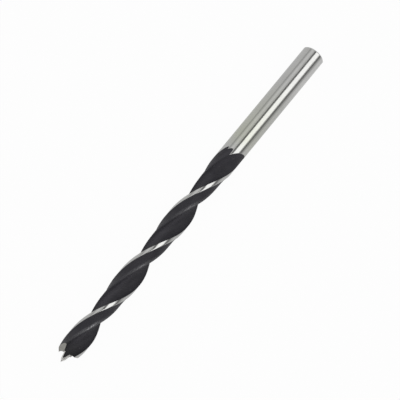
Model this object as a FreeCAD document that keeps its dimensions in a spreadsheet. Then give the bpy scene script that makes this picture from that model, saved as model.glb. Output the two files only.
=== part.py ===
import FreeCAD, Part
import math
import os
import Sketcher
from FreeCAD import Placement, Rotation, Vector

# A brad-point twist bit for wood, one piece of steel. Two right-hand flutes are rolled into round
# stock, and the shank, the margins and the point are then ground. Local Z runs from the brad point
# at 0 to the shank end. Lengths are in millimetres, angles in degrees, and places on the section
# are angles behind the leading corner of a land.

os.makedirs("parts", exist_ok=True)
doc = FreeCAD.newDocument("drill_bit")

sizes = {
    "cutting_diameter": 5.0,      # over the spurs and the margins beside them
    "shank_diameter": 4.92,       # the margins taper back to this along the flutes
    "overall_length": 86.0,       # brad point to shank end
    "flute_lead": 32.7,           # length of one full turn of a flute
    "grind_allowance": 0.12,      # stock that the rolled blank has left over the ground size
    "margin_width": 0.64,         # strip of round stock along the leading edge of each land
    "back_angle": 45.0,           # where the slope behind the margin meets the back of the land
    "back_depth": 0.39,
    "land_middle_angle": 63.0,
    "land_middle_depth": 0.42,
    "heel_angle": 81.5,           # rear edge of the land
    "heel_depth": 0.51,
    "web_angle": 132.0,           # deepest line of the flute
    "web_thickness": 0.95,        # steel left between the two flutes
    "full_flute_length": 51.0,    # brad point to the start of the run-out
    "run_out_length": 9.0,        # from there to where the rolls left the round stock
    "back_rise": 0.155,           # how far each line stands over the cutting size at that place
    "land_middle_rise": 0.12,
    "heel_rise": 0.36,
    "web_rise": 0.41,
    "brad_tip_radius": 0.46,      # brad point: a blunter tip on a slimmer cone
    "brad_tip_length": 0.75,
    "brad_root_radius": 0.76,
    "brad_root_depth": 2.12,
    "spur_depth": 1.82,           # brad point to the tips of the two spurs
    "lip_relief": 31.0,           # slope of the ground faces behind the lips
    "relief_root_radius": 0.95,   # where those faces end beside the brad point
    "relief_sweep": 34.0,         # how far the wheel's path turns in towards the heel
    "wheel_wall_offset": 0.12,    # how far from the axis the wheel's inner wall ends
    "lip_lead_in": 0.7,           # how far ahead of the lip the wheel starts
    "shank_chamfer": 0.3,
    "overrun": 1.0,               # how far stock and wheels pass the finished ends
    "rest_roll": 126.0,           # turn about its own length in which it lies
}
sheet = doc.addObject("Spreadsheet::Sheet", "sizes")
for row, (alias, value) in enumerate(sizes.items(), start=1):
    sheet.set("A%d" % row, alias)
    sheet.set("B%d" % row, str(value))
    sheet.setAlias("B%d" % row, alias)
doc.recompute()

body = doc.addObject("PartDesign::Body", "drill_bit")
body.Label = "drill_bit"


def size(alias):
    return float(sheet.get(alias))


def value_of(rule):
    # what an expression of the sheet's sizes comes to, as a first guess for a sketch
    return float(sheet.evalExpression(rule.replace("sizes.", "")))


def origin_item(role):
    return [item for item in body.Origin.OriginFeatures if item.Role == role][0]


def flat_sketch(name, role):
    sketch = body.newObject("Sketcher::SketchObject", name)
    sketch.AttachmentSupport = [(origin_item(role), "")]
    sketch.MapMode = "FlatFace"
    return sketch


def drive(sketch, constraint, name, rule):
    index = sketch.addConstraint(constraint)
    sketch.renameConstraint(index, name)
    sketch.setExpression("Constraints." + name, rule)


def polar_point(sketch, name, reach_rule, angle_rule):
    # a construction line from the axis carries each point of the section
    reach = value_of(reach_rule)
    turn = math.radians(value_of(angle_rule))
    end = Vector(reach * math.cos(turn), reach * math.sin(turn), 0)
    line = sketch.addGeometry(Part.LineSegment(Vector(0, 0, 0), end), True)
    sketch.addConstraint(Sketcher.Constraint("Coincident", line, 1, -1, 1))
    drive(sketch, Sketcher.Constraint("Distance", line, reach), name + "_reach", "(%s) * 1 mm" % reach_rule)
    drive(sketch, Sketcher.Constraint("Angle", line, turn), name + "_turn", "(%s) * 1 deg" % angle_rule)
    return line


def join_ends(sketch, edge, first, last):
    sketch.addConstraint(Sketcher.Constraint("Coincident", edge, 1, first, 2))
    sketch.addConstraint(Sketcher.Constraint("Coincident", edge, 2, last, 2))


def add_line(sketch, first, last):
    line = sketch.addGeometry(Part.LineSegment(sketch.getPoint(first, 2), sketch.getPoint(last, 2)), False)
    join_ends(sketch, line, first, last)


def add_arc(sketch, first, middle, last):
    start = sketch.getPoint(first, 2)
    arc = sketch.addGeometry(Part.Arc(start, sketch.getPoint(middle, 2), sketch.getPoint(last, 2)), False)
    if sketch.getPoint(arc, 1).isEqual(start, 1e-6):
        join_ends(sketch, arc, first, last)
    else:
        join_ends(sketch, arc, last, first)
    sketch.addConstraint(Sketcher.Constraint("PointOnObject", middle, 2, arc))


def turn_at(height_rule):
    # the leading corner stands on local X at the height of the spurs
    return "360 * ((%s) - sizes.spur_depth) / sizes.flute_lead" % height_rule


def land_section(name, height_rule, risen):
    # margin, slope, back and flute, twice round
    sketch = flat_sketch(name, "XY_Plane")
    sketch.AttachmentOffset = Placement(Vector(0, 0, 0), Rotation(Vector(0, 0, 1), 1))
    sketch.setExpression("AttachmentOffset.Base.z", "(%s) * 1 mm" % height_rule)
    sketch.setExpression("AttachmentOffset.Rotation.Angle", "(%s) * 1 deg" % turn_at(height_rule))
    margin_turn = "sizes.margin_width / sizes.cutting_diameter * 2 * 180 / pi"
    stock = "sizes.cutting_diameter / 2 + sizes.grind_allowance"

    def reach(part):
        if risen:
            return "sizes.cutting_diameter / 2 + sizes.%s_rise" % part
        return "sizes.cutting_diameter / 2 - sizes.%s_depth" % part

    web = reach("web") if risen else "sizes.web_thickness / 2"
    stations = [
        ("lead", stock, "0"),
        ("margin_middle", stock, margin_turn + " / 2"),
        ("margin_end", stock, margin_turn),
        ("back", reach("back"), "sizes.back_angle"),
        ("land_middle", reach("land_middle"), "sizes.land_middle_angle"),
        ("heel", reach("heel"), "sizes.heel_angle"),
        ("web", web, "sizes.web_angle"),
    ]
    halves = []
    for half, start in (("near", 0), ("far", 180)):
        halves.append({station: polar_point(sketch, "%s_%s" % (half, station), rule, "%s + %d" % (turn, start))
                       for station, rule, turn in stations})
    for land, next_land in (halves, halves[::-1]):
        add_arc(sketch, land["lead"], land["margin_middle"], land["margin_end"])
        add_line(sketch, land["margin_end"], land["back"])
        add_arc(sketch, land["back"], land["land_middle"], land["heel"])
        add_arc(sketch, land["heel"], land["web"], next_land["lead"])
    return sketch


def axis_path(name, start_rule, end_rule):
    sketch = flat_sketch(name, "XZ_Plane")
    start = value_of(start_rule)
    end = value_of(end_rule)
    line = sketch.addGeometry(Part.LineSegment(Vector(0, start, 0), Vector(0, end, 0)), False)
    sketch.addConstraint(Sketcher.Constraint("PointOnObject", line, 1, -2))
    sketch.addConstraint(Sketcher.Constraint("Vertical", line))
    drive(sketch, Sketcher.Constraint("DistanceY", -1, 1, line, 1, start), "start", start_rule)
    drive(sketch, Sketcher.Constraint("DistanceY", -1, 1, line, 2, end), "end", end_rule)
    return sketch


def twist_guide(name, start_rule, end_rule):
    # the path of a leading corner, which turns the section as it travels
    guide = doc.addObject("Part::Helix", name)
    guide.Placement = Placement(Vector(0, 0, 0), Rotation(Vector(0, 0, 1), 1))
    guide.setExpression("Pitch", "sizes.flute_lead * 1 mm")
    guide.setExpression("Height", "(%s - (%s)) * 1 mm" % (end_rule, start_rule))
    guide.setExpression("Radius", "sizes.cutting_diameter / 2 * 1 mm")
    guide.setExpression("Placement.Base.z", "(%s) * 1 mm" % start_rule)
    guide.setExpression("Placement.Rotation.Angle", "(%s) * 1 deg" % turn_at(start_rule))
    return guide


def twisted_pipe(name, profile, start_rule, end_rule):
    pipe = body.newObject("PartDesign::AdditivePipe", name)
    pipe.Profile = profile
    pipe.Spine = (axis_path(name + "_path", start_rule, end_rule), ["Edge1"])
    pipe.AuxiliarySpine = (twist_guide(name + "_twist", start_rule, end_rule), ["Edge1"])
    pipe.Mode = "Auxiliary"
    pipe.AuxiliaryCurvilinear = False
    return pipe


def outline(name, corners):
    # a closed outline in the XZ plane, each corner set by its distances from the axis and the point
    sketch = flat_sketch(name, "XZ_Plane")
    places = [Vector(value_of(across), value_of(along), 0) for corner, across, along in corners]
    lines = []
    for place, following in zip(places, places[1:] + places[:1]):
        lines.append(sketch.addGeometry(Part.LineSegment(place, following), False))
    for index, line in enumerate(lines):
        sketch.addConstraint(Sketcher.Constraint("Coincident", lines[index - 1], 2, line, 1))
    for line, place, (corner, across, along) in zip(lines, places, corners):
        drive(sketch, Sketcher.Constraint("DistanceX", -1, 1, line, 1, place.x), corner + "_across", across)
        drive(sketch, Sketcher.Constraint("DistanceY", -1, 1, line, 1, place.y), corner + "_along", along)
    return sketch


# Rolled flutes: one section carried along the axis and turned with the lead
blank_start = "0 - sizes.overrun"
rolled_section = land_section("rolled_section", blank_start, False)
doc.recompute()
twisted_pipe("rolled_flutes", rolled_section, blank_start, "sizes.full_flute_length")
doc.recompute()

# Run-out: the section rises to a little over the ground size, each line of it at its own rate
run_out_start = land_section("run_out_start", "sizes.full_flute_length", False)
rolled_end = "sizes.full_flute_length + sizes.run_out_length"
run_out_end = land_section("run_out_end", rolled_end, True)
run_out = twisted_pipe("run_out", run_out_start, "sizes.full_flute_length", rolled_end)
run_out.Transformation = "Multisection"
run_out.Sections = [(run_out_end, "")]
doc.recompute()

# Shank: the round stock from the run-out to the end
stock_circle = flat_sketch("stock_circle", "XY_Plane")
stock_circle.setExpression("AttachmentOffset.Base.z", "(%s) * 1 mm" % rolled_end)
stock_radius = "sizes.cutting_diameter / 2 + sizes.grind_allowance"
circle = stock_circle.addGeometry(Part.Circle(Vector(0, 0, 0), Vector(0, 0, 1), value_of(stock_radius)), False)
stock_circle.addConstraint(Sketcher.Constraint("Coincident", circle, 3, -1, 1))
drive(stock_circle, Sketcher.Constraint("Radius", circle, value_of(stock_radius)), "reach", stock_radius)
shank = body.newObject("PartDesign::Pad", "shank")
shank.Profile = stock_circle
shank.setExpression("Length", "(sizes.overall_length - (%s)) * 1 mm" % rolled_end)
doc.recompute()

# Grinding: all that stands outside the brad point, the spurs, the margins and the shank comes off
cutting_radius = "sizes.cutting_diameter / 2"
shank_radius = "sizes.shank_diameter / 2"
outside = "sizes.cutting_diameter / 2 + sizes.grind_allowance + sizes.overrun"
past_end = "sizes.overall_length + sizes.overrun"
ahead = "0 - sizes.overrun * 2"
chamfer_radius = "sizes.shank_diameter / 2 - sizes.shank_chamfer"
ground_outline = outline("ground_outline", [
    ("ahead", "0", ahead),
    ("point", "0", "0"),
    ("brad_tip", "sizes.brad_tip_radius", "sizes.brad_tip_length"),
    ("brad_root", "sizes.brad_root_radius", "sizes.brad_root_depth"),
    ("spur", cutting_radius, "sizes.spur_depth"),
    ("shank_start", shank_radius, rolled_end),
    ("chamfer_start", shank_radius, "sizes.overall_length - sizes.shank_chamfer"),
    ("chamfer_end", chamfer_radius, "sizes.overall_length"),
    ("past_chamfer", chamfer_radius, past_end),
    ("past_end", outside, past_end),
    ("outside_ahead", outside, ahead),
])
grinding = body.newObject("PartDesign::Groove", "grinding")
grinding.Profile = ground_outline
grinding.ReferenceAxis = (ground_outline, ["V_Axis"])
grinding.Angle = 360
before = body.Shape.Volume
doc.recompute()
print("grinding takes off %.2f cubic mm" % (before - body.Shape.Volume))

# Lip relief: a slanting pass of the wheel behind the lip, from the root of the brad point out past
# the spur. Its inner wall leaves a flat on the side of the brad point.
along_lip = "(sizes.relief_root_radius - sizes.brad_root_radius) / (%s - sizes.brad_root_radius)" % cutting_radius
relief_root_depth = "sizes.brad_root_depth + (sizes.spur_depth - sizes.brad_root_depth) * %s" % along_lip
relief_outline = outline("relief_outline", [
    ("wall_top", "sizes.wheel_wall_offset", "0 - sizes.overrun"),
    ("root", "sizes.relief_root_radius", relief_root_depth),
    ("spur", cutting_radius, "sizes.spur_depth"),
    ("outside", outside, "sizes.spur_depth"),
    ("outside_top", outside, "0 - sizes.overrun"),
])
lip_relief = body.newObject("PartDesign::Pocket", "lip_relief")
lip_relief.Profile = relief_outline
lip_relief.UseCustomVector = True
lip_relief.setExpression("Direction.x", "-tan(sizes.relief_sweep * 1 deg)")
lip_relief.setExpression("Direction.y", "1")
lip_relief.setExpression("Direction.z", "tan(sizes.lip_relief * 1 deg)")
lip_relief.AlongSketchNormal = True
lip_relief.SideType = "Two sides"
lip_relief.setExpression("Length", "(%s) * 1 mm" % outside)
lip_relief.setExpression("Length2", "sizes.lip_lead_in * 1 mm")
doc.recompute()

both_lips = body.newObject("PartDesign::PolarPattern", "both_lips")
both_lips.Originals = [lip_relief]
both_lips.Axis = (origin_item("Z_Axis"), [""])
both_lips.Angle = 360
both_lips.Occurrences = 2
body.Tip = both_lips
before = grinding.Shape.Volume
doc.recompute()
print("lip relief takes off %.2f cubic mm" % (before - body.Shape.Volume))

# The bit lies on its margins and shank, its point towards -X, rolled as it came to rest
lying = Rotation(Vector(0, -1, 0), Vector(0, 0, -1), Vector(1, 0, 0), "ZXY")
roll = Rotation(Vector(0, 0, 1), size("rest_roll"))
middle = Vector(-size("overall_length") / 2, 0, size("cutting_diameter") / 2)
body.Placement = Placement(middle, lying * roll)
doc.recompute()

for item in doc.Objects:
    if "Invalid" in item.State or "Error" in item.State:
        raise RuntimeError("%s failed: %s" % (item.Name, item.getStatusString()))
bit = body.Shape
if bit.isNull() or not bit.isValid() or len(bit.Solids) != 1:
    raise RuntimeError("drill_bit is not one valid solid")
print("drill_bit: %.1f cubic mm, %s" % (bit.Volume, bit.optimalBoundingBox()))
bit.exportStep("parts/drill_bit.step")
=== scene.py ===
from math import atan2, cos, degrees, pi, radians, sin, tan

import bmesh
import bpy
from mathutils import Matrix, Vector


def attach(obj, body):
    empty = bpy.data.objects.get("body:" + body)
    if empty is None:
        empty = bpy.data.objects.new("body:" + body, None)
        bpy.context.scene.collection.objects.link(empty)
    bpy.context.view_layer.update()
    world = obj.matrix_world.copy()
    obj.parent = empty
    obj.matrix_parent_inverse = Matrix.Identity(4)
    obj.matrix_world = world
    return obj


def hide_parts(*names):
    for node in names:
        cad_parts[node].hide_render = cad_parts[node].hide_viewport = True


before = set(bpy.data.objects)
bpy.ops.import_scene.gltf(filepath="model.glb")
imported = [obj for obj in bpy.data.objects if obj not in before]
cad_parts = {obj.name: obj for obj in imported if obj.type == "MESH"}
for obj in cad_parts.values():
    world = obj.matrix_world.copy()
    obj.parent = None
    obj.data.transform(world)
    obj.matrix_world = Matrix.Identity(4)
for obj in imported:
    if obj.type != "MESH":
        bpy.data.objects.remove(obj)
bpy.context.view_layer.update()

# A blackened brad-point wood bit with bright ground margins, lying on a white sheet.

mm = 0.001

# Millimetres along the bit, from the brad point at 0 to the shank end, and degrees round it.
bitSizes = dict(
    cuttingDiameter=5.0,
    shankDiameter=4.92,
    overallLength=86.0,
    fluteLead=32.7,
    grindAllowance=0.12,
    marginWidth=0.64,
    backAngle=45.0, backDepth=0.39,
    landMiddleAngle=63.0, landMiddleDepth=0.42,
    heelAngle=81.5, heelDepth=0.51,
    webAngle=132.0, webThickness=0.95,
    fullFluteLength=51.0,
    runOutLength=9.0,
    backRise=0.155, landMiddleRise=0.12, heelRise=0.36, webRise=0.41,
    bradTipRadius=0.46, bradTipLength=0.75,
    bradRootRadius=0.76, bradRootDepth=2.12,
    spurDepth=1.82,
    lipRelief=31.0, reliefSweep=34.0, reliefRootRadius=0.95, wheelWallOffset=0.12, lipLeadIn=0.7,
    tipWheelRise=0.4,            # how far ahead of the spurs the tip wheel runs clear of the bit
    shankChamfer=0.3,
    overrun=1.0,                 # how far stock and wheels pass the finished ends
    restRoll=126.0,
)
# What the rolls left uneven, in the same units. The solid has a crisp heel and an even lead.
rollingFlaws = dict(
    softHeelAngle=87.0, softHeelDepth=0.26,      # the corner that the heel's soft edge is drawn in
    softHeelFade=6.0,                            # it turns crisp over this much ahead of the run-out
    leadWander=[(18.7, 8.0, 4.3), (37.0, 5.0, 3.0)],   # place, reach either way, most degrees too far
)
meshFineness = dict(
    marginSteps=8, slopeSteps=9, backSteps=20, fluteSteps=44,    # lines of half the section
    softBefore=12, softAfter=6,                  # lines of the heel's soft edge, either side of it
    rowStep=0.2, tipRowStep=0.1, runOutRowStep=0.1, shankRowStep=1.0,
    tipLength=5.0,
    coneSteps=96,
    sharpAngle=28.0,
)

radius = bitSizes["cuttingDiameter"] / 2
shankRadius = bitSizes["shankDiameter"] / 2
rolledEnd = bitSizes["fullFluteLength"] + bitSizes["runOutLength"]
heelLine = meshFineness["marginSteps"] + meshFineness["slopeSteps"] + meshFineness["backSteps"]


def clamped(share):
    return min(1.0, max(0.0, share))


def eased(share):
    return share * share * (3 - 2 * share)


def polar(reach, angle):
    return complex(reach * cos(radians(angle)), reach * sin(radians(angle)))


def linePoints(first, last, steps):
    return [first + (last - first) * i / steps for i in range(steps)]


def arcPoints(first, middle, last, steps):
    # from first through middle, up to but not with last
    ratio = (last - first) / (middle - first)
    centre = (middle - first) * (ratio - abs(ratio) ** 2) / (2j * ratio.imag) + first
    bend = (last - centre) / (first - centre)
    swing = atan2(bend.imag, bend.real)
    half = (middle - centre) / (first - centre)
    toMiddle = atan2(half.imag, half.real)
    if swing * toMiddle < 0 or abs(toMiddle) > abs(swing):
        swing -= 2 * pi * (1 if swing > 0 else -1)
    return [centre + (first - centre) * complex(cos(swing * i / steps), sin(swing * i / steps))
            for i in range(steps)]


def landSection(risen=False, soft=False):
    s, flaws, fine = bitSizes, rollingFlaws, meshFineness
    stock = radius + s["grindAllowance"]
    marginTurn = degrees(s["marginWidth"] / radius)

    def reach(part):
        return radius + s[part + "Rise"] if risen else radius - s[part + "Depth"]

    web = reach("web") if risen else s["webThickness"] / 2
    lead, marginEnd = polar(stock, 0), polar(stock, marginTurn)
    back, heel = polar(reach("back"), s["backAngle"]), polar(reach("heel"), s["heelAngle"])
    if soft:
        heel = polar(radius - flaws["softHeelDepth"], flaws["softHeelAngle"])
    half = arcPoints(lead, polar(stock, marginTurn / 2), marginEnd, fine["marginSteps"])
    half += linePoints(marginEnd, back, fine["slopeSteps"])
    half += arcPoints(back, polar(reach("landMiddle"), s["landMiddleAngle"]), heel, fine["backSteps"])
    half += arcPoints(heel, polar(web, s["webAngle"]), -lead, fine["fluteSteps"])
    if soft:
        softenEdge(half, heelLine, fine["softBefore"], fine["softAfter"])
    return half + [-point for point in half]


def softenEdge(points, corner, before, after):
    # the lines round a corner follow a curve that is drawn in it
    first, edge, last = points[corner - before], points[corner], points[corner + after]
    for i in range(before + after + 1):
        share = i / (before + after)
        bend = first * (1 - share) ** 2 + edge * 2 * share * (1 - share) + last * share ** 2
        points[corner - before + i] = bend


def groundRadius(along):
    # the margins taper back to the shank, and its end is chamfered
    s = bitSizes
    if along < rolledEnd:
        share = max(0.0, (along - s["spurDepth"]) / (rolledEnd - s["spurDepth"]))
        return radius + (shankRadius - radius) * share
    return min(shankRadius, shankRadius + s["overallLength"] - s["shankChamfer"] - along)


def rowHeights():
    s, fine = bitSizes, meshFineness
    stretches = [
        (-s["overrun"], fine["tipLength"], fine["tipRowStep"]),
        (fine["tipLength"], s["fullFluteLength"], fine["rowStep"]),
        (s["fullFluteLength"], rolledEnd, fine["runOutRowStep"]),
        (rolledEnd, s["overallLength"] - s["shankChamfer"], fine["shankRowStep"]),
    ]
    rows = []
    for start, end, step in stretches:
        count = max(1, round((end - start) / step))
        rows += [start + (end - start) * i / count for i in range(count)]
    return rows + [s["overallLength"] - s["shankChamfer"], s["overallLength"]]


def turnAt(along):
    s = bitSizes
    wander = sum(most * cos(pi * (along - place) / (2 * reach)) ** 2
                 for place, reach, most in rollingFlaws["leadWander"] if abs(along - place) < reach)
    return 360 * (min(along, rolledEnd) - s["spurDepth"]) / s["fluteLead"] + wander


def crispnessAt(along):
    return clamped(1 - (bitSizes["fullFluteLength"] - along) / rollingFlaws["softHeelFade"])


def rolledRow(along, soft, crisp, risen):
    # the section at this place, and how far each of its lines lies below the ground size
    crispness = crispnessAt(along)
    rise = clamped((along - bitSizes["fullFluteLength"]) / bitSizes["runOutLength"])
    turn, limit = polar(1, turnAt(along)), groundRadius(along)
    row, depths = [], []
    for rounded, sharp, high in zip(soft, crisp, risen):
        low = rounded * (1 - crispness) + sharp * crispness
        place = (low * (1 - rise) + high * rise) * turn
        depths.append((limit - abs(place)) * mm)
        if abs(place) > limit:
            place *= limit / abs(place)
        row.append((place.real, place.imag, along))
    return row, depths


# Where the black is rubbed bright, with a painted highlight in that rubbing, and where painted light
# makes it paler: lines of the section, counted from the heel, and millimetres along the bit. The
# other numbers are shares of the most.
heelRubAndHighlight = dict(
    linesBefore=7, linesReach=7,
    mostAt=9.5, least=0.2, moreAtTip=0.7, tipReach=20.0,
)
paintedLightOnBlack = dict(
    fluteLinesAfter=12, fluteLinesReach=12, fluteInRunOut=0.4, lipReach=2.0,
    backLinesBefore=7, backLinesReach=12, backInRunOut=0.55,
)


def besideHeel(lines, reach):
    # one share for each line of the section, 1 at so many lines past the heel and 0 beyond reach
    count = heelLine + meshFineness["fluteSteps"]
    return [max(0.0, 1 - abs(i - heelLine - lines) / reach) for i in range(count)] * 2


def rubAndHighlightAt(along):
    # a painted highlight, strongest once for each land in every turn, on wear that is stronger
    # towards the point
    swell = (1 + cos(4 * pi * (along - heelRubAndHighlight["mostAt"]) / bitSizes["fluteLead"])) / 2
    rubAndHighlight = heelRubAndHighlight["least"] + (1 - heelRubAndHighlight["least"]) * swell ** 3
    nearTip = max(0.0, 1 - along / heelRubAndHighlight["tipReach"])
    return rubAndHighlight * (1 + heelRubAndHighlight["moreAtTip"] * nearTip) * (1 - crispnessAt(along))


def paintedLightAt(along):
    # painted light on the flute's wall, and lighter black on the back in the run-out
    crispness = crispnessAt(along)
    fromLips = clamped((along - bitSizes["spurDepth"]) / paintedLightOnBlack["lipReach"])
    inFlute = fromLips * (1 + (paintedLightOnBlack["fluteInRunOut"] - 1) * crispness)
    return inFlute, paintedLightOnBlack["backInRunOut"] * crispness


def ringFaces(rings, around):
    faces = []
    for ring in range(rings - 1):
        for i in range(around):
            a, b = ring * around + i, ring * around + (i + 1) % around
            faces.append((a, b, b + around, a + around))
    return faces


def rolledMesh():
    soft, crisp, risen = landSection(soft=True), landSection(), landSection(risen=True)
    rubAndHighlightLines = besideHeel(-heelRubAndHighlight["linesBefore"], heelRubAndHighlight["linesReach"])
    fluteLines = besideHeel(paintedLightOnBlack["fluteLinesAfter"], paintedLightOnBlack["fluteLinesReach"])
    backLines = besideHeel(-paintedLightOnBlack["backLinesBefore"], paintedLightOnBlack["backLinesReach"])
    heights, around = rowHeights(), len(crisp)
    points, depths, rubsAndHighlights, paintedLightShares = [], [], [], []
    for along in heights:
        row, rowDepths = rolledRow(along, soft, crisp, risen)
        points += row
        depths += rowDepths
        # the heel's wear with its painted highlight, and the painted light on the black
        rubAndHighlight = rubAndHighlightAt(along)
        rubsAndHighlights += [share * rubAndHighlight for share in rubAndHighlightLines]
        inFlute, onBack = paintedLightAt(along)
        paintedLightShares += [eased(flute) * inFlute + eased(back) * onBack
                  for flute, back in zip(fluteLines, backLines)]
    faces = ringFaces(len(heights), around)
    faces.append(tuple(reversed(range(around))))
    faces.append(tuple(range(len(points) - around, len(points))))
    mesh = bpy.data.meshes.new("drillBit")
    mesh.from_pydata(points, [], faces)
    mesh.polygons[-1].material_index = 1         # the shank's end face
    for name, values in (("rolledDepth", depths), ("heelWearAndHighlight", rubsAndHighlights), ("paintedLightShare", paintedLightShares)):
        mesh.attributes.new(name, "FLOAT", "POINT").data.foreach_set("value", values)
    return mesh


def tipWheel():
    # what the grinding takes off ahead of the brad point and the spurs, as a ring round the axis
    s, count = bitSizes, meshFineness["coneSteps"]
    outside = radius + s["grindAllowance"] + s["overrun"]
    profile = [
        (s["bradTipRadius"], s["bradTipLength"]),
        (s["bradRootRadius"], s["bradRootDepth"]),
        (radius, s["spurDepth"]),
        (outside, s["spurDepth"] - s["tipWheelRise"]),
        (outside, -2 * s["overrun"]),
    ]
    points = [(reach * cos(2 * pi * i / count), reach * sin(2 * pi * i / count), along)
              for reach, along in profile for i in range(count)]
    top, bottom = len(points), len(points) + 1
    points += [(0, 0, 0), (0, 0, -2 * s["overrun"])]
    faces = ringFaces(len(profile), count)
    last = (len(profile) - 1) * count
    for i in range(count):
        faces.append((top, (i + 1) % count, i))
        faces.append((last + i, last + (i + 1) % count, bottom))
    return closedMesh("tipWheel", points, faces)


def lipWheel(side):
    # the slanting pass behind one lip
    s = bitSizes
    outside = radius + s["grindAllowance"] + s["overrun"]
    alongLip = (s["reliefRootRadius"] - s["bradRootRadius"]) / (radius - s["bradRootRadius"])
    rootDepth = s["bradRootDepth"] + (s["spurDepth"] - s["bradRootDepth"]) * alongLip
    profile = [
        (s["wheelWallOffset"], -s["overrun"]),
        (s["reliefRootRadius"], rootDepth),
        (radius, s["spurDepth"]),
        (outside, s["spurDepth"]),
        (outside, -s["overrun"]),
    ]
    sweep, slope = -tan(radians(s["reliefSweep"])), tan(radians(s["lipRelief"]))
    points = []
    for travel in (-s["lipLeadIn"], outside):
        points += [(side * (across + sweep * travel), side * travel, along + slope * travel)
                   for across, along in profile]
    count = len(profile)
    faces = [tuple(range(count)), tuple(reversed(range(count, 2 * count)))]
    for i in range(count):
        j = (i + 1) % count
        faces.append((i, i + count, j + count, j))
    return closedMesh("lipWheel", points, faces)


def closedMesh(name, points, faces):
    mesh = bpy.data.meshes.new(name)
    mesh.from_pydata(points, [], faces)
    work = bmesh.new()
    work.from_mesh(mesh)
    bmesh.ops.recalc_face_normals(work, faces=work.faces)
    work.to_mesh(mesh)
    work.free()
    return mesh


def addObject(name, mesh, materials):
    thing = bpy.data.objects.new(name, mesh)
    bpy.context.scene.collection.objects.link(thing)
    for material in materials:
        mesh.materials.append(material)
    return thing


def grind(bit, wheelMesh, material):
    wheel = addObject("wheel", wheelMesh, [material])
    cut = bit.modifiers.new("cut", "BOOLEAN")
    cut.operation, cut.solver, cut.object = "DIFFERENCE", "MANIFOLD", wheel
    cut.material_mode = "TRANSFER"
    shaped = bpy.data.meshes.new_from_object(bit.evaluated_get(bpy.context.evaluated_depsgraph_get()))
    bit.modifiers.clear()
    bit.data = shaped
    bpy.data.objects.remove(wheel)


def layDown(mesh):
    # along X with the point towards -X, rolled onto its margins
    s = bitSizes
    roll = Matrix.Rotation(radians(s["restRoll"]), 4, "Z")
    lying = Matrix(((0, 0, 1, 0), (-1, 0, 0, 0), (0, -1, 0, 0), (0, 0, 0, 1)))
    middle = Matrix.Translation((-s["overallLength"] / 2, 0, radius))
    mesh.transform(Matrix.Scale(mm, 4) @ middle @ lying @ roll)
    mesh.shade_smooth()
    mesh.set_sharp_from_angle(angle=radians(meshFineness["sharpAngle"]))


def addNode(tree, kind, **settings):
    made = tree.nodes.new(kind)
    for name, value in settings.items():
        setattr(made, name, value)
    return made


def emptyMaterial(name):
    material = bpy.data.materials.new(name)
    material.use_nodes = True
    tree = material.node_tree
    tree.nodes.clear()
    return material, tree, addNode(tree, "ShaderNodeOutputMaterial").inputs["Surface"]


def steelMaterial(name):
    material, tree, surface = emptyMaterial(name)
    shader = addNode(tree, "ShaderNodeBsdfPrincipled")
    tree.links.new(shader.outputs["BSDF"], surface)
    return material, tree, shader


def newGroup(name, inputs, outputs):
    group = bpy.data.node_groups.new(name, "ShaderNodeTree")
    for way, sockets in (("INPUT", inputs), ("OUTPUT", outputs)):
        for title, kind in sockets.items():
            group.interface.new_socket(title, in_out=way, socket_type="NodeSocket" + kind)
    return group, group.nodes.new("NodeGroupInput"), group.nodes.new("NodeGroupOutput")


def rangeNode(tree, value, fromMin, fromMax, toMin=0.0, toMax=1.0):
    made = addNode(tree, "ShaderNodeMapRange")
    tree.links.new(value, made.inputs["Value"])
    ends = {"From Min": fromMin, "From Max": fromMax, "To Min": toMin, "To Max": toMax}
    for title, number in ends.items():
        made.inputs[title].default_value = number
    return made.outputs["Result"]


def mathNode(tree, operation, first, second=None, third=None):
    made = addNode(tree, "ShaderNodeMath", operation=operation)
    for socket, item in zip(made.inputs, (first, second, third)):
        if isinstance(item, (int, float)):
            socket.default_value = item
        elif item is not None:
            tree.links.new(item, socket)
    return made.outputs[0]


def mixNode(tree, share, first, second):
    made = addNode(tree, "ShaderNodeMix", data_type="RGBA")
    tree.links.new(share, made.inputs["Factor"])
    for title, item in (("A", first), ("B", second)):
        if isinstance(item, tuple):
            made.inputs[title].default_value = (*item, 1)
        else:
            tree.links.new(item, made.inputs[title])
    return made.outputs["Result"]


def noiseNode(tree, place, scale, detail=2.0):
    made = addNode(tree, "ShaderNodeTexNoise")
    tree.links.new(place, made.inputs["Vector"])
    made.inputs["Scale"].default_value = scale
    made.inputs["Detail"].default_value = detail
    return made.outputs["Fac"]


grindLook = dict(
    markShare=0.6, markDetail=3.0,
    patchShare=0.4, patchSize=420.0,             # patches to the metre
    contrast=(0.3, 0.7),
)


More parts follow.
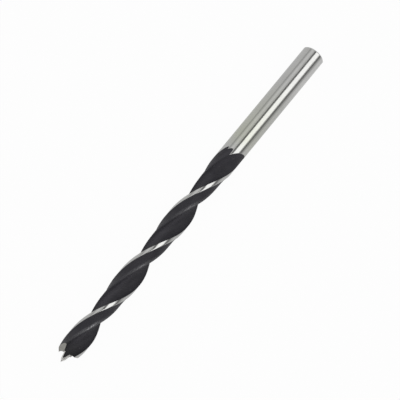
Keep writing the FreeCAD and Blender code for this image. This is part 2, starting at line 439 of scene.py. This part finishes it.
def grindingMarks():
    # fine marks that a wheel leaves, and the slow unevenness of a ground surface
    group, given, result = newGroup("grindingMarks", {
        "Place": "Vector", "Marks Along": "Float", "Marks Round": "Float",
        "Colour": "Color", "Mark Tint": "Float",
        "Roughness": "Float", "Mark Roughness": "Float",
    }, {"Colour": "Color", "Roughness": "Float", "Height": "Float"})
    link = group.links.new
    scales = addNode(group, "ShaderNodeCombineXYZ")
    link(given.outputs["Marks Along"], scales.inputs["X"])
    link(given.outputs["Marks Round"], scales.inputs["Y"])
    link(given.outputs["Marks Round"], scales.inputs["Z"])
    stretched = addNode(group, "ShaderNodeVectorMath", operation="MULTIPLY")
    link(given.outputs["Place"], stretched.inputs[0])
    link(scales.outputs["Vector"], stretched.inputs[1])
    marks = noiseNode(group, stretched.outputs["Vector"], 1.0, grindLook["markDetail"])
    patches = noiseNode(group, given.outputs["Place"], grindLook["patchSize"])
    patches = mathNode(group, "MULTIPLY", patches, grindLook["patchShare"])
    both = mathNode(group, "MULTIPLY_ADD", marks, grindLook["markShare"], patches)
    uneven = rangeNode(group, both, *grindLook["contrast"])
    tint = mathNode(group, "MULTIPLY", uneven, given.outputs["Mark Tint"])
    darker = mathNode(group, "SUBTRACT", 1.0, tint)
    tinted = addNode(group, "ShaderNodeVectorMath", operation="SCALE")
    link(given.outputs["Colour"], tinted.inputs[0])
    link(darker, tinted.inputs["Scale"])
    link(tinted.outputs["Vector"], result.inputs["Colour"])
    rougher = mathNode(group, "MULTIPLY_ADD", uneven, given.outputs["Mark Roughness"],
                       given.outputs["Roughness"])
    link(rougher, result.inputs["Roughness"])
    link(marks, result.inputs["Height"])
    return group


speckLook = dict(        # sizes are cells to the metre
    paleSize=1300.0, paleShare=0.13, paleColour=(0.085, 0.083, 0.09),
    darkSize=1400.0, darkShare=0.03, darkColour=(0.42, 0.41, 0.38),
    smallest=0.1, variety=0.22,                  # parts of a cell
    softRim=0.5,                                 # part of the speck
)


def scatteredSpecks():
    group, given, result = newGroup(
        "scatteredSpecks", {"Place": "Vector", "Size": "Float", "Share": "Float"}, {"Mask": "Float"})
    link = group.links.new
    cells = addNode(group, "ShaderNodeTexVoronoi")
    link(given.outputs["Place"], cells.inputs["Vector"])
    link(given.outputs["Size"], cells.inputs["Scale"])
    chosen = addNode(group, "ShaderNodeSeparateColor")
    link(cells.outputs["Color"], chosen.inputs["Color"])
    kept = mathNode(group, "LESS_THAN", chosen.outputs["Red"], given.outputs["Share"])
    width = mathNode(group, "MULTIPLY_ADD", chosen.outputs["Green"],
                     speckLook["variety"], speckLook["smallest"])
    fromMiddle = mathNode(group, "DIVIDE", cells.outputs["Distance"], width)
    near = mathNode(group, "SUBTRACT", 1.0, fromMiddle)
    soft = rangeNode(group, near, 0.0, speckLook["softRim"])
    link(mathNode(group, "MULTIPLY", soft, kept), result.inputs["Mask"])
    return group


def placed(tree, group, place, values):
    made = addNode(tree, "ShaderNodeGroup", node_tree=group)
    tree.links.new(place, made.inputs["Place"])
    for title, value in values.items():
        made.inputs[title].default_value = value
    return made


def marksFor(tree, groups, place, look):
    return placed(tree, groups["marks"], place, {
        "Marks Along": look["marksAlong"], "Marks Round": look["marksRound"],
        "Colour": (*look["colour"], 1), "Mark Tint": look["markTint"],
        "Roughness": look["roughness"], "Mark Roughness": look["markRoughness"],
    })


def specksFor(tree, groups, place, kind):
    specks = placed(tree, groups["specks"], place,
                    {"Size": speckLook[kind + "Size"], "Share": speckLook[kind + "Share"]})
    return specks.outputs["Mask"]


def addBump(tree, shader, height, strength):
    bump = addNode(tree, "ShaderNodeBump")
    bump.inputs["Strength"].default_value = strength
    bump.inputs["Distance"].default_value = markHeight
    tree.links.new(height, bump.inputs["Height"])
    tree.links.new(bump.outputs["Normal"], shader.inputs["Normal"])


markHeight = 0.02 * mm       # each look takes its own share of it, its markDepth
groundLook = dict(       # shank and margins, ground round the bit
    colour=(0.615, 0.615, 0.605), oilyColour=(0.597, 0.61, 0.531), roughness=0.12,
    oilyStart=0.0145, oilyMost=0.018, oilyEnd=0.033,   # metres along X
    oilyHalf=0.0013, oilyFarSide=0.6,            # metres along Y, and how much is left at -Y
    paintedReflectionColour=(0.72, 0.72, 0.71),             # painted brighter reflection on one side of the shank near its end
    paintedReflectionStart=0.0285, paintedReflectionFull=0.0345,       # metres along X
    paintedReflectionEdge=-0.0014, paintedReflectionSide=-0.0019,      # metres along Y
    marksAlong=9000.0, marksRound=500.0,         # marks to the metre, across and along their run
    markTint=0.1, markRoughness=0.05, markDepth=0.03,
)
pointLook = dict(        # brad point and spur rim
    colour=(0.9, 0.89, 0.86), roughness=0.35,
    marksAlong=7000.0, marksRound=900.0,
    markTint=0.16, markRoughness=0.1, markDepth=0.08,
)
reliefLook = dict(       # faces behind the lips, coarser from the wheel
    colour=(0.44, 0.43, 0.4), roughness=0.3,
    marksAlong=700.0, marksRound=9000.0,
    markTint=0.3, markRoughness=0.15, markDepth=0.15,
)
endLook = dict(          # the shank's end face, turned
    colour=(0.56, 0.56, 0.55), roughness=0.22,
    marksAlong=2600.0, marksRound=2600.0,
    markTint=0.3, markRoughness=0.12, markDepth=0.3,
)


def reachFromAxis(tree, place):
    # turned rings follow the distance from the bit's axis
    off = addNode(tree, "ShaderNodeVectorMath", operation="SUBTRACT")
    tree.links.new(place, off.inputs[0])
    off.inputs[1].default_value = (0, 0, radius * mm)
    flat = addNode(tree, "ShaderNodeVectorMath", operation="MULTIPLY")
    tree.links.new(off.outputs["Vector"], flat.inputs[0])
    flat.inputs[1].default_value = (0, 1, 1)
    reach = addNode(tree, "ShaderNodeVectorMath", operation="LENGTH")
    tree.links.new(flat.outputs["Vector"], reach.inputs[0])
    ring = addNode(tree, "ShaderNodeCombineXYZ")
    tree.links.new(reach.outputs["Value"], ring.inputs["X"])
    return ring.outputs["Vector"]


def groundSteel(name, look, groups, turned=False):
    material, tree, shader = steelMaterial(name)
    link = tree.links.new
    place = addNode(tree, "ShaderNodeTexCoord").outputs["Object"]
    if turned:
        place = reachFromAxis(tree, place)
    marks = marksFor(tree, groups, place, look)
    specks = specksFor(tree, groups, place, "dark")
    colour = mixNode(tree, specks, marks.outputs["Colour"], speckLook["darkColour"])
    link(colour, shader.inputs["Base Color"])
    link(marks.outputs["Roughness"], shader.inputs["Roughness"])
    shader.inputs["Metallic"].default_value = 1.0
    addBump(tree, shader, marks.outputs["Height"], look["markDepth"])
    return material


blackLook = dict(
    colour=(0.0405, 0.039, 0.047),
    cloudColour=(0.05, 0.048, 0.0575), cloudSize=500.0, cloudContrast=(0.35, 0.7),
    paintedLightColour=(0.078, 0.075, 0.088),           # painted light on the flute's wall behind the heel, lifting its shade
    lipColour=(0.024, 0.023, 0.025),
    lipStart=-0.0375, lipFull=-0.0415,           # metres along X
    roughness=0.5, roughUneven=0.06, roughContrast=(0.3, 0.7), shine=0.25,
    grainSize=6500.0, grainDetail=3.0, grainDepth=0.04,
    # the heel's worn bare metal, which also carries a painted highlight
    wornAndHighlightColour=(0.42, 0.42, 0.43), wornAndHighlightMost=0.52, wornContrast=(0.35, 0.6), wornRoughness=0.18,
    raggedEdge=0.004, edgeWidth=0.002,           # millimetres of depth
    raggedContrast=(0.2, 0.8),
)


def markedPlaces(tree, name):
    return addNode(tree, "ShaderNodeAttribute", attribute_name=name).outputs["Fac"]


def belowGround(tree, grain):
    # 1 where the rolled black lay too deep for the grinding, 0 on bright steel
    ragged, width = blackLook["raggedEdge"] * mm, blackLook["edgeWidth"] * mm
    uneven = rangeNode(tree, grain, *blackLook["raggedContrast"], -ragged, ragged)
    depth = mathNode(tree, "ADD", markedPlaces(tree, "rolledDepth"), uneven)
    return rangeNode(tree, depth, -width, width)


def shankColour(tree, spot):
    # yellowish beside the run-out, and a painted brighter reflection on one side near the end
    look, along, aside = groundLook, spot.outputs["X"], spot.outputs["Y"]
    oilyRise = rangeNode(tree, along, look["oilyStart"], look["oilyMost"])
    oilyFall = rangeNode(tree, along, look["oilyEnd"], look["oilyMost"])
    oilyAside = rangeNode(tree, aside, -look["oilyHalf"], look["oilyHalf"], look["oilyFarSide"])
    oily = mathNode(tree, "MULTIPLY", mathNode(tree, "MINIMUM", oilyRise, oilyFall), oilyAside)
    steel = mixNode(tree, oily, look["colour"], look["oilyColour"])
    # a painted brighter reflection on one side of the shank near its end
    paintedReflectionAlong = rangeNode(tree, along, look["paintedReflectionStart"], look["paintedReflectionFull"])
    paintedReflectionAside = rangeNode(tree, aside, look["paintedReflectionEdge"], look["paintedReflectionSide"])
    brightShare = mathNode(tree, "MULTIPLY", paintedReflectionAlong, paintedReflectionAside)
    return mixNode(tree, brightShare, steel, look["paintedReflectionColour"])


def blackColour(tree, groups, place, spot):
    look = blackLook
    clouds = rangeNode(tree, noiseNode(tree, place, look["cloudSize"]), *look["cloudContrast"])
    black = mixNode(tree, clouds, look["colour"], look["cloudColour"])
    # painted light on the flute's wall behind the heel
    black = mixNode(tree, markedPlaces(tree, "paintedLightShare"), black, look["paintedLightColour"])
    nearLips = rangeNode(tree, spot.outputs["X"], look["lipStart"], look["lipFull"])
    black = mixNode(tree, nearLips, black, look["lipColour"])
    return mixNode(tree, specksFor(tree, groups, place, "pale"), black, speckLook["paleColour"])


def blackAndBright(name, groups):
    # bright where the rolled surface was proud of the ground size, black below it
    material, tree, shader = steelMaterial(name)
    link = tree.links.new
    place = addNode(tree, "ShaderNodeTexCoord").outputs["Object"]
    spot = addNode(tree, "ShaderNodeSeparateXYZ")
    link(place, spot.inputs["Vector"])
    grain = noiseNode(tree, place, blackLook["grainSize"], blackLook["grainDetail"])
    below = belowGround(tree, grain)
    bare = mathNode(tree, "SUBTRACT", 1.0, below)

    marks = marksFor(tree, groups, place, groundLook)
    link(shankColour(tree, spot), marks.inputs["Colour"])
    darkSpecks = specksFor(tree, groups, place, "dark")
    bright = mixNode(tree, darkSpecks, marks.outputs["Colour"], speckLook["darkColour"])

    # the heel's worn metal, with a painted highlight once in each turn
    heel = markedPlaces(tree, "heelWearAndHighlight")
    brightShare = rangeNode(tree, grain, *blackLook["wornContrast"], 0.0, blackLook["wornAndHighlightMost"])
    wornAndHighlight = mathNode(tree, "MULTIPLY", heel, brightShare)
    black = mixNode(tree, wornAndHighlight, blackColour(tree, groups, place, spot), blackLook["wornAndHighlightColour"])
    link(mixNode(tree, below, bright, black), shader.inputs["Base Color"])
    link(mathNode(tree, "MAXIMUM", bare, wornAndHighlight), shader.inputs["Metallic"])

    dull, uneven = blackLook["roughness"], blackLook["roughUneven"]
    rough = rangeNode(tree, grain, *blackLook["roughContrast"], dull - uneven, dull + uneven)
    rough = mathNode(tree, "MULTIPLY_ADD", heel, blackLook["wornRoughness"] - dull, rough)
    smooth = marks.outputs["Roughness"]
    difference = mathNode(tree, "SUBTRACT", rough, smooth)
    link(mathNode(tree, "MULTIPLY_ADD", below, difference, smooth), shader.inputs["Roughness"])
    shader.inputs["Specular IOR Level"].default_value = blackLook["shine"]

    grained = mathNode(tree, "MULTIPLY", grain, blackLook["grainDepth"])
    grained = mathNode(tree, "MULTIPLY", below, grained)
    scratched = mathNode(tree, "MULTIPLY", bare, groundLook["markDepth"])
    height = mathNode(tree, "MULTIPLY_ADD", scratched, marks.outputs["Height"], grained)
    addBump(tree, shader, height, 1.0)
    return material


def buildBit():
    groups = {"marks": grindingMarks(), "specks": scatteredSpecks()}
    body = blackAndBright("rolledSteel", groups)
    turned = groundSteel("turnedEnd", endLook, groups, turned=True)
    ground = groundSteel("groundPoint", pointLook, groups)
    relief = groundSteel("groundRelief", reliefLook, groups)
    mesh = rolledMesh()
    bit = addObject("drillBit", mesh, [body, turned])
    print("bit rolled,", len(mesh.polygons), "faces")
    grind(bit, tipWheel(), ground)
    grind(bit, lipWheel(1), relief)
    grind(bit, lipWheel(-1), relief)
    print("point and lips ground,", len(bit.data.polygons), "faces")
    layDown(bit.data)
    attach(bit, "root")
    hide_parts("drill_bit")
    print("bit laid down")


sheetLook = dict(
    half=2.0,                # metres
    paper=0.8,
    whiteSeen=0.97, whiteMirrored=0.42,    # how much plain white the camera and mirrored rays meet
)


def flatMesh(name, x, y):
    mesh = bpy.data.meshes.new(name)
    corners = [(-x, -y, 0), (x, -y, 0), (x, y, 0), (-x, y, 0)]
    mesh.from_pydata(corners, [], [tuple(range(len(corners)))])
    return mesh


def buildSheet():
    mesh = flatMesh("sheet", sheetLook["half"], sheetLook["half"])
    material, tree, surface = emptyMaterial("whiteSheet")
    link = tree.links.new
    path = addNode(tree, "ShaderNodeLightPath")
    mirrored = mathNode(tree, "MULTIPLY", path.outputs["Is Glossy Ray"], sheetLook["whiteMirrored"])
    seen = mathNode(tree, "MULTIPLY_ADD", path.outputs["Is Camera Ray"],
                    sheetLook["whiteSeen"], mirrored)
    mix = addNode(tree, "ShaderNodeMixShader")
    paper = addNode(tree, "ShaderNodeBsdfDiffuse")
    paper.inputs["Color"].default_value = (*[sheetLook["paper"]] * 3, 1)
    white = addNode(tree, "ShaderNodeEmission")
    white.inputs["Strength"].default_value = 1.0
    link(seen, mix.inputs["Fac"])
    link(paper.outputs[0], mix.inputs[1])
    link(white.outputs[0], mix.inputs[2])
    link(mix.outputs[0], surface)
    addObject("sheet", mesh, [material])
    print("sheet laid")


cameraView = dict(
    tilt=19.5,           # degrees, the point end nearer
    distance=0.6741,     # metres from the aimed place
    imageSize=400, pixelsPerMm=4.9005,               # at that place
    aimAlong=45.158, aimAside=0.935,                 # millimetres
    acrossInImage=0.6358, upInImage=0.7719,          # which way the bit points
    sensorWidth=36.0, clipStart=0.01,                # millimetres, and metres
)


def buildCamera():
    view = cameraView
    tilt = radians(view["tilt"])
    forward = Vector((sin(tilt), 0, -cos(tilt)))
    alongUp = Vector((cos(tilt), 0, sin(tilt)))
    aside = Vector((0, -1, 0))
    up = alongUp * view["upInImage"] - aside * view["acrossInImage"]
    right = alongUp * view["acrossInImage"] + aside * view["upInImage"]
    aim = Vector((-bitSizes["overallLength"] / 2 + view["aimAlong"], -view["aimAside"], radius)) * mm
    widthSeen = view["imageSize"] / view["pixelsPerMm"] * mm
    camera = bpy.data.cameras.new("camera")
    camera.sensor_width = view["sensorWidth"]
    camera.lens = view["sensorWidth"] * view["distance"] / widthSeen
    camera.clip_start = view["clipStart"]
    thing = bpy.data.objects.new("camera", camera)
    bpy.context.scene.collection.objects.link(thing)
    turn = Matrix((right, up, -forward)).transposed().to_4x4()
    thing.matrix_world = Matrix.Translation(aim - forward * view["distance"]) @ turn
    bpy.context.scene.camera = thing
    print("camera set")


studio = dict(
    distance=1.2,               # metres, of the lamp and cards
    lampLength=0.8, cardLength=2.4,
    # name, turn round the bit and spread in degrees, brightness
    lamps=[("softbox", 24.0, 35, 0.85)],
    cards=[("lensShade", -4, 15, 0.19), ("darkFlag", 60, 19, 0.21), ("halfFlag", 76, 14, 0.5),
           ("greyFlag", -60, 14, 0.47), ("paleCard", -34, 16, 0.8)],
    worldColour=(0.68, 0.68, 0.67), worldEnds=(0.36, 0.36, 0.36),
    bandNear=0.25, bandFar=0.6,            # how wide the bright band across the bit is
    horizonHeight=0.5,                     # the ends pale towards the sheet below this
)


def spanOf(spread):
    return 2 * studio["distance"] * tan(radians(spread / 2))


def studioFrame(turn):
    # a place round the bit that the round shank mirrors, turned from straight over it
    tilt, turn = radians(cameraView["tilt"]), radians(turn)
    back = Vector((sin(tilt), -cos(tilt) * sin(turn), cos(tilt) * cos(turn)))
    across = Vector((1, 0, 0)).cross(back).normalized()
    facing = Matrix((across, back.cross(across), back)).transposed().to_4x4()
    return Matrix.Translation(Vector((0, 0, radius * mm)) + back * studio["distance"]) @ facing


def buildLamp(name, turn, spread, brightness):
    lamp = bpy.data.lights.new(name, "AREA")
    lamp.shape, lamp.size, lamp.size_y = "RECTANGLE", spanOf(spread), studio["lampLength"]
    lamp.energy = brightness * pi * lamp.size * lamp.size_y
    thing = bpy.data.objects.new(name, lamp)
    bpy.context.scene.collection.objects.link(thing)
    thing.matrix_world = studioFrame(turn)


def buildCard(name, turn, spread, grey):
    material, tree, surface = emptyMaterial(name)
    glow = addNode(tree, "ShaderNodeEmission")
    glow.inputs["Color"].default_value = (grey, grey, grey, 1)
    tree.links.new(glow.outputs[0], surface)
    card = addObject(name, flatMesh(name, spanOf(spread) / 2, studio["cardLength"] / 2), [material])
    card.matrix_world = studioFrame(turn)


def buildLights():
    world = bpy.data.worlds.new("studio")
    bpy.context.scene.world = world
    world.use_nodes = True
    tree = world.node_tree
    background = tree.nodes["Background"]
    path = addNode(tree, "ShaderNodeLightPath")
    towards = addNode(tree, "ShaderNodeSeparateXYZ")
    place = addNode(tree, "ShaderNodeTexCoord").outputs["Generated"]
    tree.links.new(place, towards.inputs["Vector"])
    middle = sin(radians(cameraView["tilt"]))
    off = mathNode(tree, "ABSOLUTE", mathNode(tree, "SUBTRACT", towards.outputs["X"], middle))
    ends = rangeNode(tree, off, studio["bandNear"], studio["bandFar"])
    high = rangeNode(tree, towards.outputs["Z"], 0.0, studio["horizonHeight"])
    ends = mathNode(tree, "MULTIPLY", ends, high)
    light = mixNode(tree, ends, studio["worldColour"], studio["worldEnds"])
    seen = mixNode(tree, path.outputs["Is Camera Ray"], light, (1.0, 1.0, 1.0))
    tree.links.new(seen, background.inputs["Color"])
    for name, turn, spread, brightness in studio["lamps"]:
        buildLamp(name, turn, spread, brightness)
    for name, turn, spread, grey in studio["cards"]:
        buildCard(name, turn, spread, grey)
    print("studio lit")


def main():
    bpy.context.scene.view_settings.view_transform = "Standard"
    buildBit()
    buildSheet()
    buildCamera()
    buildLights()


main()
